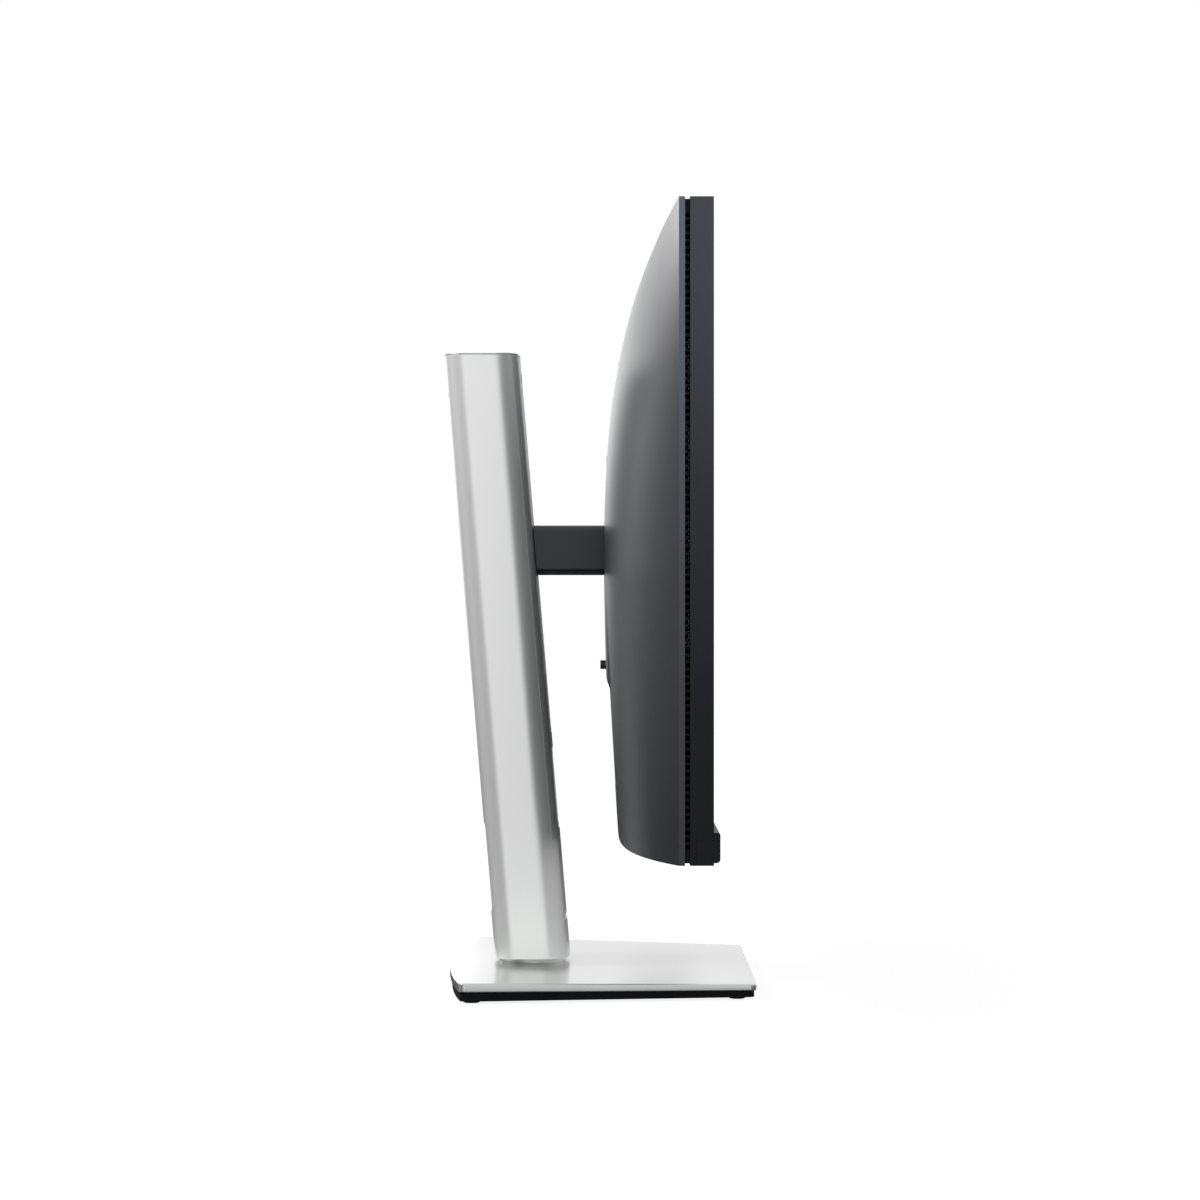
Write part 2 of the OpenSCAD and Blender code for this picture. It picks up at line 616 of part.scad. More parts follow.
plate_lip = recess_floor + 0.3;
module quick_release_plate() color("#5c6166") difference() {
    union() {
        mount_block(plate_w, plate_h, 5, plate_at - plate_t, plate_at);
        difference() {
            mount_block(plate_w, plate_h, 5, plate_lip, plate_at);
            mount_block(plate_w - 6, plate_h - 6, 3, plate_lip - 1, plate_at + 1);
        }
        // tongue held by the latch
        slab(-8, 8, plate_lip, plate_lip + 3, arm_z - recess_w / 2 + 0.5, arm_z - plate_h / 2 + 1);
    }
    rod(pivot_r + fit, plate_lip - 1, plate_at + 1, 0, arm_z);
}
module plate_trim() color("#2f3237") difference() {
    mount_block(plate_w + 4, plate_h + 4, 6, plate_at + 0.3, plate_at + 16);
    mount_block(plate_w, plate_h, 4, plate_at - 1, plate_at + 13.6);
    rod(trim_hole_r, plate_at - 1, plate_at + 20, 0, arm_z);
    for (x = [-1, 1], z = [-1, 1])
        rod(vesa_hole_r + 5, plate_at - 1, plate_at + 20, x * vesa_pitch / 2, arm_z + z * vesa_pitch / 2);
}
module pivot_washer() color("#d9d2b0") difference() {
    rod(22, plate_at + 0.1, plate_at + 0.1 + washer_t, 0, arm_z);
    rod(pivot_r + fit, plate_at - 1, plate_at + 3, 0, arm_z);
}
module pivot_shaft() color("#c8ccd0") {
    rod(pivot_r, plate_lip + 0.5, bracket_at + bracket_t, 0, arm_z);
    rod(pivot_r + 2, bracket_at + bracket_t, bracket_at + bracket_t + pivot_head_t, 0, arm_z);
}
module pivot_nut() color("#c8ccd0") difference() {
    rod(12, plate_lip + 0.6, plate_at - plate_t - 0.1, 0, arm_z);
    rod(pivot_r + fit / 5, plate_lip - 1, plate_at, 0, arm_z);
}
module tilt_bracket() color("#6a6f75") difference() {
    union() {
        mount_block(2 * (ear_in + ear_t), 44, 4, bracket_at, bracket_at + bracket_t);
        for (x = [-ear_in - ear_t, ear_in]) {
            cross_rod(8, x, x + ear_t, tilt_y, arm_z);
            slab(x, x + ear_t, bracket_at + bracket_t - eps, tilt_y + display_ahead,
                 arm_z - 8, arm_z + 8);
        }
    }
    rod(pivot_r + fit / 5, bracket_at - 1, bracket_at + 4, 0, arm_z);
    cross_rod(tilt_pin_r + fit, -30, 30, tilt_y, arm_z);
}
module tilt_pin() color("#c8ccd0") {
    pin_x = arm_ear_in + arm_ear_t;
    cross_rod(tilt_pin_r, -pin_x - 0.3, pin_x + 0.3, tilt_y, arm_z);
    for (x = [-pin_x - 1.6, pin_x + 0.3]) cross_rod(tilt_pin_r + 1.4, x, x + 1.3, tilt_y, arm_z);
}
module tilt_springs() color("#7f8489")
    translate([-ear_in + 1.5, tilt_y, arm_z]) rotate([0, 90, 0])
        coil(tilt_pin_r + 0.1 + tilt_wire, tilt_wire, 11, 1.9);

// ---- arm ----

arm_front_y = tilt_y + 3.5;
arm_rear_gap = 0.5;
column_at_arm = column_front_y(arm_z);
bar_w = 22;
bar_h = 16;
module arm_bracket() color("#5c6166") difference() {
    pin_x = arm_ear_in + arm_ear_t;
    union() {
        translate([-bar_w / 2, tilt_y + 9.5, arm_z - bar_h / 2])
            cube([bar_w, bracket_end - tilt_y - 9.5, bar_h]);
        translate([-pin_x, tilt_y + 9.5, arm_z - 9]) cube([2 * pin_x, 5, 18]);
        for (x = [-pin_x, arm_ear_in]) {
            cross_rod(8, x, x + arm_ear_t, tilt_y, arm_z);
            translate([x, tilt_y, arm_z - 8]) cube([arm_ear_t, 10, 16]);
        }
    }
    cross_rod(tilt_pin_r + fit / 5, -30, 30, tilt_y, arm_z);
}
module arm_outer() difference() {
    translate([0, column_at_arm + 12, arm_z]) rotate([90, 0, 0])
        linear_extrude(column_at_arm + 12 - arm_front_y) rounded_rect(arm_w, arm_h, 4);
    // ends parallel to the column's crowned front
    leaning() translate([0, front_crown_r - column_d / 2, -60])
        cylinder(r = front_crown_r + arm_rear_gap, h = column_len + 120, $fn = 360);
}
// Half of the arm's cover, seamed along the top and the bottom; side is 1 or -1
module arm_shell(side) {
    difference() {
        arm_outer();
        translate([0, column_at_arm + 20, arm_z]) rotate([90, 0, 0])
            linear_extrude(90) rounded_rect(arm_w - 2 * arm_wall, arm_h - 2 * arm_wall, 1.8);
        translate([side > 0 ? -arm_w : -eps, arm_front_y - 5, arm_z - arm_h])
            cube([arm_w + eps, 90, 2 * arm_h]);
    }
    // rib that rests on the arm bracket
    rib_w = arm_w / 2 - arm_wall - bar_w / 2;
    translate([side > 0 ? bar_w / 2 + fit : -bar_w / 2 - fit - rib_w, column_at_arm - 14, arm_z - 6])
        cube([rib_w, 2, 12]);
}
module arm_cover_left() color("#3a3d42") arm_shell(-1);
module arm_cover_right() color("#3a3d42") arm_shell(1);

// ---- column: drawn upright about its own axis, then leant back ----

module leaning() translate([0, axis_y, column_z]) rotate([-lean, 0, 0]) children();

module section(inset) {
    w = column_w - 2 * inset;
    d = column_d - 2 * inset;
    rr = rear_corner_r - inset;
    rf = front_corner_r - inset;
    xr = w / 2 - rr;
    xf = w / 2 - rf;
    yr = d / 2 - xr * xr / 2 / rear_crown_r;
    yf = d / 2 - xf * xf / 2 / front_crown_r;
    polygon(concat(
        arc(xr, yr - rr, rr, 0, 88, 7),
        [for (i = [1:7]) let (x = xr * (1 - i / 4)) [x, d / 2 - x * x / 2 / rear_crown_r]],
        arc(-xr, yr - rr, rr, 92, 180, 7),
        arc(-xf, rf - yf, rf, 180, 268, 7),
        [for (i = [1:7]) let (x = xf * (i / 4 - 1)) [x, x * x / 2 / front_crown_r - d / 2]],
        arc(xf, rf - yf, rf, 272, 360, 7)));
}
module column_solid(inset, lo, hi) intersection() {
    leaning() translate([0, 0, -20]) linear_extrude(column_len + 40) section(inset);
    translate([-column_w, axis_y - 100, lo]) cube([2 * column_w, 250, hi - lo]);
}
module column_tube(lo, hi) difference() {
    column_solid(0, lo, hi);
    column_solid(column_wall, lo - 1, hi + 1);
}
// Half space in front of the seam between shell and front cover
module ahead_of_seam(extra = 0) leaning()
    translate([-column_w, -column_d / 2 - 50 + front_cover_d + extra, -60])
        cube([2 * column_w, 50, column_len + 120]);
// Opening across the column between two heights
module window(w, z_lo, z_hi, front = true) {
    r = 5;
    depth = front ? -column_d / 2 - 3 : column_d / 2 - 12;
    leaning() translate([0, depth + 15, (z_lo + z_hi) / 2 - column_z]) rotate([90, 0, 0])
        linear_extrude(15) rounded_rect(w, (z_hi - z_lo) / cos(lean), r);
}

module column_shell() color("#d8dad8") difference() {
    column_tube(column_z, column_top - cap_t);
    ahead_of_seam(0.05);
    window(cable_rear_w, cable_rear[0], cable_rear[1], false);
    leaning() for (x = [-1, 1], s = rail_screws) translate([x * rail_x, column_d / 2 - 8, s])
        rotate([-90, 0, 0]) cylinder(r = 1.6, h = 7);
}
module column_front() color("#dcdedc") difference() {
    intersection() {
        column_tube(cable_front[0] - 4, column_top - cap_t);
        ahead_of_seam();
    }
    window(slot_w, slot_lo, slot_hi);
    window(cable_front_w, cable_front[0], cable_front[1]);
}
module column_lower_front() color("#d4d6d4") difference() {
    intersection() {
        column_tube(column_z, cable_front[0] - 4.1);
        ahead_of_seam();
    }
    // dark finger notch under the panel
    leaning() translate([-22, -column_d / 2 - 3, notch[0] - column_z])
        cube([44, 10, notch[1] - notch[0]]);
}
cap_t = 1.6;
module column_cap() color("#d0d2d0") {
    column_solid(0, column_top - cap_t + 0.02, column_top);
    column_solid(column_wall + 0.15, column_top - cap_t - 6, column_top - cap_t + 0.05);
}

// Steel rails on the column's rear wall
rail_x = 24;
rail_lo = 128;
rail_len = column_len - 128 - 12;
rail_back = column_d / 2 - column_wall - 2.4; // clears the wall's crown and corner
rail_screws = [rail_lo + 12, rail_lo + rail_len - 12];
module slide_rails() color("#b0b4b8") leaning() for (x = [-1, 1]) {
    translate([x * rail_x - 5, rail_back - 2, rail_lo]) cube([10, 2, rail_len]);
    translate([x * (rail_x + 4) - 1, rail_back - 14, rail_lo]) cube([2, 12.05, rail_len]);
}
bracket_end = column_at_arm + column_d / 2 + rail_back - 6;
carriage_w = 2 * (rail_x + 3) - 0.8;
carriage_h = 52;
carriage_s = arm_s - 32;
module carriage() color("#2d2f33") difference() {
    leaning() translate([0, rail_back - 13, carriage_s]) {
        translate([-carriage_w / 2, 0, 0]) cube([carriage_w, 10.4, carriage_h]);
        // lugs and axle of the spring rolls
        for (x = [-20.6, 18.6]) translate([x, 2, -roll_r - 4]) cube([2, 6, roll_r + 5]);
        translate([-19, 5, -roll_r - roll_drop]) rotate([0, 90, 0]) cylinder(r = roll_bore - fit, h = 38);
    }
    // seat of the arm bracket
    translate([-bar_w / 2 - fit, 0, arm_z - bar_h / 2 - fit])
        cube([bar_w + 2 * fit, bracket_end + fit, bar_h + 2 * fit]);
}
roll_r = 6;
roll_bore = 3;
roll_drop = 0.6;
module slot_cover() color("#1d1e20") difference() {
    leaning() translate([-slot_w / 2 - 5, -column_d / 2 + column_wall + 1.2, arm_s - 45])
        cube([slot_w + 10, 1.6, 65]);
    translate([-bar_w / 2 - 0.2, column_at_arm - 30, arm_z - bar_h / 2 - 0.2])
        cube([bar_w + 0.4, 90, bar_h + 0.4]);
}
// Constant-force lift springs: rolls below the carriage, strips behind it up to the column's top
roll_s = carriage_s - roll_r - roll_drop;
module spring_rolls() color("#9fa4a9") leaning() for (x = [-1, 1])
    translate([x * 13, rail_back - 8, roll_s]) rotate([0, 90, 0]) difference() {
        translate([0, 0, -5]) cylinder(r = roll_r, h = 10);
        translate([0, 0, -6]) cylinder(r = roll_bore, h = 12);
    }
module spring_strips() color("#9fa4a9") leaning() for (x = [-1, 1])
    translate([x * 13 - 5, rail_back - 1.9, roll_s]) cube([10, 0.3, column_len - 12 - roll_s]);

module column_foot() color("#4a4d51") difference() {
    union() {
        column_solid(column_wall + 0.3, column_z, column_z + 7);
        translate([0, axis_y, column_z]) cylinder(r = 12, h = 14);
    }
    translate([0, axis_y, column_z - 1]) cylinder(r = screw_r + fit, h = 17);
}

// ---- swivel ----

screw_r = 3;
tray_z = foot_h;
tray_t_base = 1.4;
weight_z = tray_z + tray_t_base + 0.1;
weight_top = weight_z + weight_t;
flange_z = weight_top + 0.5;
flange_t = 1.1;
flange_r = hub_r + 7;
under_cover = base_top(axis_y - 36) - base_wall - 0.1;
module swivel_hub() color("#4a4d51") difference() {
    union() {
        translate([0, axis_y, flange_z]) cylinder(r = flange_r, h = flange_t);
        translate([0, axis_y, flange_z]) cylinder(r = hub_r, h = hub_top - flange_z);
    }
    translate([0, axis_y, flange_z - 1]) cylinder(r = screw_r + 0.3, h = 20);
}
module swivel_washer() color("#d9d2b0") translate([0, axis_y, weight_top]) difference() {
    cylinder(r = flange_r, h = 0.45);
    translate([0, 0, -1]) cylinder(r = head_r + 1.2, h = 3);
}
module swivel_retainer() color("#8d9297") translate([0, axis_y, weight_top]) difference() {
    cylinder(r = flange_r + 6, h = under_cover - weight_top);
    translate([0, 0, -1]) cylinder(r = flange_r + 0.3, h = 1 + 0.5 + flange_t + 0.1);
    cylinder(r = hub_r + 0.3, h = 9);
}

// ---- base ----

head_r = 14;
corner_r = 4;
module base_outline(inset) {
    xr = base_rear_w / 2 - inset;
    xf = base_front_w / 2 - inset;
    y0 = base_front_y + inset;
    y1 = base_rear_y - inset;
    sag = xr * xr / 2 / base_rear_r;
    side = atan((xr - xf) / base_d);
    polygon(concat(
        arc(xf - corner_r * 0.8, y0 + corner_r, corner_r, -90, -side, 4),
        arc(xr - corner_r, y1 - sag - corner_r, corner_r, -side, 80, 5),
        [for (i = [1:11]) let (x = (xr - corner_r) * (1 - i / 6)) [x, y1 - x * x / 2 / base_rear_r]],
        arc(corner_r - xr, y1 - sag - corner_r, corner_r, 100, 180 + side, 5),
        arc(corner_r * 0.8 - xf, y0 + corner_r, corner_r, 180 + side, 270, 4)));
}
// Solid below a plane that falls towards the front
module below(rear_h, front_h) {
    translate([-base_rear_w, 0, 0]) rotate([90, 0, 90]) linear_extrude(2 * base_rear_w) polygon([
        [base_front_y - 10, -5], [base_rear_y + 10, -5],
        [base_rear_y + 10, rear_h + (rear_h - front_h) * 10 / base_d],
        [base_front_y - 10, front_h - (rear_h - front_h) * 10 / base_d]]);
}
split_rear = base_rear_h - 5.5;
split_front = base_front_h - 3.8;
module base_cover() color("#dfe0de") difference() {
    intersection() {
        linear_extrude(30) base_outline(0);
        below(base_rear_h, base_front_h);
    }
    below(split_rear, split_front);
    intersection() {
        translate([0, 0, -1]) linear_extrude(30) base_outline(base_wall);
        below(base_rear_h - base_wall, base_front_h - base_wall);
    }
    translate([0, axis_y, 0]) cylinder(r = hub_r + 0.6, h = 30);
}
module base_tray() color("#15161a") difference() {
    intersection() {
        translate([0, 0, tray_z]) linear_extrude(30) base_outline(1.2);
        below(split_rear - 0.05, split_front - 0.05);
    }
    translate([0, 0, tray_z + tray_t_base]) linear_extrude(30) base_outline(2.6);
    translate([0, axis_y, 0]) cylinder(r = head_r + 3, h = 30);
    for (p = foot_places) translate([p[0], p[1], tray_z - 1]) linear_extrude(1.5) foot_shape(0.1);
    for (p = screw_places) translate([p[0], p[1], 0]) cylinder(r = 1.7, h = 5);
}
module weight_plate() color("#6e7378") difference() {
    translate([0, 0, weight_z]) linear_extrude(weight_t) base_outline(6);
    translate([0, axis_y, 0]) cylinder(r = head_r + 1.2, h = 30);
    for (p = screw_places) translate([p[0], p[1], 0]) cylinder(r = 1.5 + fit, h = 30);
}
foot_rear_y = base_rear_y - 17;
foot_front_y = base_front_y + 11;
foot_places = [[-126, foot_rear_y], [126, foot_rear_y], [0, base_rear_y - 10],
               [-104, foot_front_y], [104, foot_front_y], [0, foot_front_y]];
module foot_shape(extra) {
    square([18.6 + 2 * extra - 9, 9 + 2 * extra], center = true);
    for (x = [-1, 1]) translate([x * 4.8, 0]) circle(r = 4.5 + extra);
}
module rubber_feet() color("#0c0c0d") for (p = foot_places)
    translate([p[0], p[1], 0]) linear_extrude(tray_z + 0.5) foot_shape(0);
screw_places = [for (x = [-1, 1], p = [[100, base_front_y + 30], [112, base_rear_y - 40],
                                       [60, axis_y]]) [x * p[0], p[1]]];
module base_screws() color("#55585c") for (p = screw_places) translate([p[0], p[1], 0]) {
    translate([0, 0, tray_z + 0.1]) cylinder(r = 1.5, h = weight_top - tray_z - 0.3);
    translate([0, 0, tray_z - 0.9]) cylinder(r = 2.8, h = 0.9);
}

// Thumbscrew that draws the column down onto the hub, with a fold-out handle
head_z = weight_z + 0.6;
head_t = flange_z - head_z - 0.1;
handle_y = axis_y + 8;
handle_z = head_z - 1.0;
module thumbscrew() color("#33363b") {
    translate([0, axis_y, head_z]) cylinder(r = head_r, h = head_t);
    translate([0, axis_y, head_z + 1]) cylinder(r = screw_r, h = column_z + 13 - head_z);
    for (x = [-1, 1]) difference() {
        translate([x * 8 - 1, handle_y - 1.3, head_z - 1.9]) cube([2, 2.6, 2]);
        cross_rod(0.6 + fit, -12, 12, handle_y, handle_z);
    }
}
module thumbscrew_handle() color("#9aa0a6") {
    cross_rod(0.6, -9.2, 9.2, handle_y, handle_z);
    translate([0, 0, handle_z - 0.6]) linear_extrude(1.2) difference() {
        union() {
            translate([-6.5, axis_y - 9]) square([13, 17.2]);
            translate([0, axis_y - 7]) circle(r = 6.5);
        }
        translate([-4, axis_y - 6]) square([8, 11.5]);
    }
}

rear_cover();
middle_frame();
vent_grille();
chin_bezel();
lcd_panel();
optical_sheets();
light_guide();
led_strip();
panel_tray();
chassis();
vesa_plate();
main_board();
power_board();
power_inlet();
video_ports();
usb_ports();
panel_cable();
board_screws();
control_board();
joystick_base();
joystick_gimbal();
joystick_stem();
joystick_cap();
power_button();
power_led_lens();
release_button();
release_latch();
release_spring();
quick_release_plate();
plate_trim();
pivot_shaft();
pivot_washer();
pivot_nut();
tilt_bracket();
tilt_pin();
tilt_springs();
arm_bracket();
arm_cover_left();
arm_cover_right();
carriage();
slot_cover();
slide_rails();
spring_rolls();
spring_strips();
column_shell();
column_front();
column_lower_front();
column_cap();
column_foot();
swivel_hub();
swivel_washer();
swivel_retainer();
base_cover();
weight_plate();
base_tray();
rubber_feet();
thumbscrew();
thumbscrew_handle();
cover_screws();
base_screws();
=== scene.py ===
import bpy, bmesh, json, math
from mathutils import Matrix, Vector


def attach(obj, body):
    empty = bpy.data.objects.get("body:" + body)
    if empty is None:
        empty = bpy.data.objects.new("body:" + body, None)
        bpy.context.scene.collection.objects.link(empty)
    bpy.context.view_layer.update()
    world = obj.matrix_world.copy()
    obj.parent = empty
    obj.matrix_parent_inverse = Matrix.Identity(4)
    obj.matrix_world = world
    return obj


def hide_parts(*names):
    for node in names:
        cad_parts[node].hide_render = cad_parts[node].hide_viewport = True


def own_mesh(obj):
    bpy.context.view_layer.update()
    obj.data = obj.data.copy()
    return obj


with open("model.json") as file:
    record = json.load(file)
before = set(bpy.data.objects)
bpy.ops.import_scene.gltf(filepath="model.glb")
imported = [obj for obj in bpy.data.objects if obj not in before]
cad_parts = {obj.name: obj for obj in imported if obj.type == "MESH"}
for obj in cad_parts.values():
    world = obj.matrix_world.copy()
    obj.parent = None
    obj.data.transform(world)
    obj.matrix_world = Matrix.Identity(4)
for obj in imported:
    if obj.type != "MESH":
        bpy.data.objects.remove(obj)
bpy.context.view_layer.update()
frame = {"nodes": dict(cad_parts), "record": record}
nodes = frame["nodes"]
print("frame loaded,", len(nodes), "nodes")

scene = bpy.context.scene
millimetre = 0.001


# ---- studio: camera, floor, world light and soft boxes ----

cameraSetup = {"place": (-2.2, -0.002, 0.2332), "lens": 107.1, "sensor": 36.0}
studio = {
    "floorColour": (0.90, 0.90, 0.89), "floorReach": 9.0, "floorGlow": 0.87, "floorShade": 0.17,
    "skyColour": (1.0, 1.0, 1.0), "skyShown": 1.0,
    "lowLevel": 0.02,                # what is left of the world's light below the horizon
    "horizon": (-0.035, 0.075),      # heights between which it turns bright
    "frontPatch": (22, 34, 1.5),     # bright wall behind the camera: from and to in degrees, level
    "frontPatchLow": (-0.40, -0.08), # heights between which that wall begins
    "flag": (58, 20, 0.45),          # dim flag to one side: middle and half width in degrees, level
    "backGain": (95, 140, 1.4),      # backdrop beyond the object: from and to in degrees, level
    "frontLevel": 1.3,               # sky on the camera's side
    "rearView": (112, 130),          # degrees over which the rear profile takes over
    "rearDrop": (177.2, 178.6),      # and where it hands back
    "rearGain": (134, 178, 1.2, 4.2),  # the profile's level grows between these degrees: from and to, levels
    "rearSpan": (-0.10, 0.20),       # heights the profile covers
    "rearProfile": ((0.0, 0.0), (0.08, 0.01), (0.15, 0.035), (0.20, 0.10), (0.28, 0.24), (0.37, 0.42),
                    (0.45, 0.56), (0.52, 0.74), (0.62, 0.84), (0.75, 0.62), (1.0, 0.40)),
}
softBoxes = [
    {"name": "overheadBox", "place": (-0.43, -0.36, 0.52), "aim": (-0.3056, -0.03, 0.42),
     "size": (0.15, 0.15), "watts": 3.4, "spread": 72, "mirrored": False},
    {"name": "rearBox", "place": (-0.5, 1.6, 1.5), "aim": (0, 0.05, 0.30),
     "size": (1.0, 0.8), "watts": 30, "spread": 180, "mirrored": True},
]


def addNode(tree, kind, x=0, y=0, **values):
    node = tree.nodes.new(kind)
    node.location = (x, y)
    for key, value in values.items():
        setattr(node, key, value)
    return node


def makeCamera():
    lens = bpy.data.cameras.new("sideCamera")
    lens.lens = cameraSetup["lens"]
    lens.sensor_width = cameraSetup["sensor"]
    camera = bpy.data.objects.new("sideCamera", lens)
    camera.location = cameraSetup["place"]
    camera.rotation_euler = (math.radians(90), 0, math.radians(-90))
    scene.collection.objects.link(camera)
    scene.camera = camera


def makeWorld():
    world = bpy.data.worlds.new("studioWorld")
    scene.world = world
    world.use_nodes = True
    tree = world.node_tree
    tree.nodes.clear()
    out = addNode(tree, "ShaderNodeOutputWorld", 900, 0)
    shown = addNode(tree, "ShaderNodeBackground", 500, 200)
    shown.inputs["Color"].default_value = (*studio["skyColour"], 1)
    shown.inputs["Strength"].default_value = studio["skyShown"]
    lit = addNode(tree, "ShaderNodeBackground", 500, 0)
    path = addNode(tree, "ShaderNodeLightPath", 500, 450)
    mix = addNode(tree, "ShaderNodeMixShader", 720, 0)
    place = addNode(tree, "ShaderNodeTexCoord", -900, 0)
    split = addNode(tree, "ShaderNodeSeparateXYZ", -700, 0)
    tree.links.new(place.outputs["Generated"], split.inputs[0])

    def stepped(source, low, high, first, last, x, y):
        node = addNode(tree, "ShaderNodeMapRange", x, y, interpolation_type="SMOOTHSTEP")
        for key, value in (("From Min", low), ("From Max", high), ("To Min", first), ("To Max", last)):
            node.inputs[key].default_value = value
        tree.links.new(source, node.inputs["Value"])
        return node.outputs[0]

    def combined(operation, first, second, x, y):
        node = addNode(tree, "ShaderNodeMath", x, y, operation=operation)
        for i, value in enumerate((first, second)):
            if isinstance(value, (int, float)):
                node.inputs[i].default_value = value
            elif value is not None:
                tree.links.new(value, node.inputs[i])
        return node.outputs[0]

    ahead = combined("MULTIPLY", split.outputs["X"], -1, -640, -300)
    turn = combined("ARCTAN2", split.outputs["Y"], ahead, -480, -250)
    sky = stepped(split.outputs["Z"], *studio["horizon"], studio["lowLevel"], 1.0, -480, 0)
    patchFrom, patchTo, patchLevel = studio["frontPatch"]
    side = combined("ABSOLUTE", turn, None, -300, 200)
    patch = stepped(side, math.radians(patchFrom), math.radians(patchTo), patchLevel, 0.0, -140, 200)
    patchRise = stepped(split.outputs["Z"], *studio["frontPatchLow"], 0.0, 1.0, -140, 400)
    patch = combined("MULTIPLY", patch, patchRise, 20, 300)
    gainFrom, gainTo, gain = studio["backGain"]
    beyond = stepped(side, math.radians(gainFrom), math.radians(gainTo), studio["frontLevel"], gain,
                     -140, 600)
    sky = combined("MULTIPLY", sky, beyond, 20, 600)
    level = combined("MAXIMUM", sky, patch, 120, 100)
    rearFrom, rearTo = studio["rearView"]
    rear = stepped(turn, math.radians(rearFrom), math.radians(rearTo), 0.0, 1.0, 120, 900)
    dropFrom, dropTo = studio["rearDrop"]
    dropped = stepped(turn, math.radians(dropFrom), math.radians(dropTo), 1.0, 0.0, 120, 1100)
    rear = combined("MULTIPLY", rear, dropped, 300, 1000)
    spanned = stepped(split.outputs["Z"], *studio["rearSpan"], 0.0, 1.0, -140, 800)
    spanned.node.interpolation_type = "LINEAR"
    profile = addNode(tree, "ShaderNodeFloatCurve", 20, 800)
    curve = profile.mapping.curves[0]
    firstPoint, *innerPoints, lastPoint = studio["rearProfile"]
    curve.points[0].location = firstPoint
    for height, value in innerPoints:
        curve.points.new(height, value)
    curve.points[len(curve.points) - 1].location = lastPoint
    profile.mapping.update()
    tree.links.new(spanned, profile.inputs["Value"])
    swap = addNode(tree, "ShaderNodeMix", 250, 500, data_type="FLOAT")
    tree.links.new(rear, swap.inputs["Factor"])
    tree.links.new(level, swap.inputs["A"])
    growFrom, growTo, levelFrom, levelTo = studio["rearGain"]
    grown = stepped(turn, math.radians(growFrom), math.radians(growTo), levelFrom, levelTo, 20, 1000)
    tree.links.new(combined("MULTIPLY", profile.outputs[0], grown, 200, 900), swap.inputs["B"])
    middle, half, flagLevel = studio["flag"]
    away = combined("SUBTRACT", turn, math.radians(middle), -300, -250)
    away = combined("ABSOLUTE", away, None, -140, -250)
    flag = stepped(away, math.radians(half * 0.5), math.radians(half * 1.5), flagLevel, 1.0, 20, -250)
    level = combined("MULTIPLY", swap.outputs["Result"], flag, 200, -150)
    tree.links.new(level, lit.inputs["Strength"])
    tree.links.new(path.outputs["Is Camera Ray"], mix.inputs[0])
    tree.links.new(lit.outputs[0], mix.inputs[1])
    tree.links.new(shown.outputs[0], mix.inputs[2])
    tree.links.new(mix.outputs[0], out.inputs[0])


def makeLights():
    for box in softBoxes:
        light = bpy.data.lights.new(box["name"], "AREA")
        light.shape = "RECTANGLE"
        light.size, light.size_y = box["size"]
        light.energy = box["watts"]
        light.spread = math.radians(box["spread"])
        lamp = bpy.data.objects.new(box["name"], light)
        lamp.location = box["place"]
        aim = Vector(box["aim"]) - Vector(box["place"])
        lamp.rotation_euler = aim.to_track_quat("-Z", "Y").to_euler()
        lamp.visible_camera = False
        lamp.visible_glossy = box["mirrored"]
        scene.collection.objects.link(lamp)


def makeFloor():
    reach = studio["floorReach"]
    mesh = bpy.data.meshes.new("paleFloor")
    mesh.from_pydata([(-reach, -reach, 0), (reach, -reach, 0), (reach, reach, 0), (-reach, reach, 0)],
                     [], [(0, 1, 2, 3)])
    floor = bpy.data.objects.new("paleFloor", mesh)
    scene.collection.objects.link(floor)
    floor.visible_diffuse = False
    floor.visible_glossy = False
    material = bpy.data.materials.new("palePaper")
    material.use_nodes = True
    tree = material.node_tree
    tree.nodes.clear()
    out = addNode(tree, "ShaderNodeOutputMaterial", 400, 0)
    both = addNode(tree, "ShaderNodeAddShader", 200, 0)
    paper = addNode(tree, "ShaderNodeBsdfDiffuse", 0, 100)
    paper.inputs["Color"].default_value = (*[c * studio["floorShade"] for c in studio["floorColour"]], 1)
    glow = addNode(tree, "ShaderNodeEmission", 0, -100)
    glow.inputs["Strength"].default_value = studio["floorGlow"]
    tree.links.new(paper.outputs[0], both.inputs[0])
    tree.links.new(glow.outputs[0], both.inputs[1])
    tree.links.new(both.outputs[0], out.inputs[0])
    mesh.materials.append(material)


makeCamera()
makeWorld()
makeLights()
makeFloor()
scene.view_settings.view_transform = "Standard"
print("studio ready")


# ---- shared effects ----

def newGroup(name, inputs, outputs):
    group = bpy.data.node_groups.new(name, "ShaderNodeTree")
    for label, value in inputs.items():
        socket = group.interface.new_socket(name=label, in_out="INPUT", socket_type="NodeSocketFloat")
        socket.default_value = value
    for label in outputs:
        group.interface.new_socket(name=label, in_out="OUTPUT", socket_type="NodeSocketFloat")
    return group, addNode(group, "NodeGroupInput", -900, 0), addNode(group, "NodeGroupOutput", 900, 0)


def noiseNode(tree, x, y, scale, detail=2.0, rough=0.5):
    node = addNode(tree, "ShaderNodeTexNoise", x, y)
    node.inputs["Scale"].default_value = scale
    node.inputs["Detail"].default_value = detail
    node.inputs["Roughness"].default_value = rough
    return node


# Spark-eroded texture of a moulding: fine pits and a slow change of tone
mouldGrain = {"pits": 2600.0, "pitRough": 0.6, "cellShare": 0.45, "cellHeight": 0.5, "tone": 9,
              "toneRough": 0.55, "detail": 3.0}


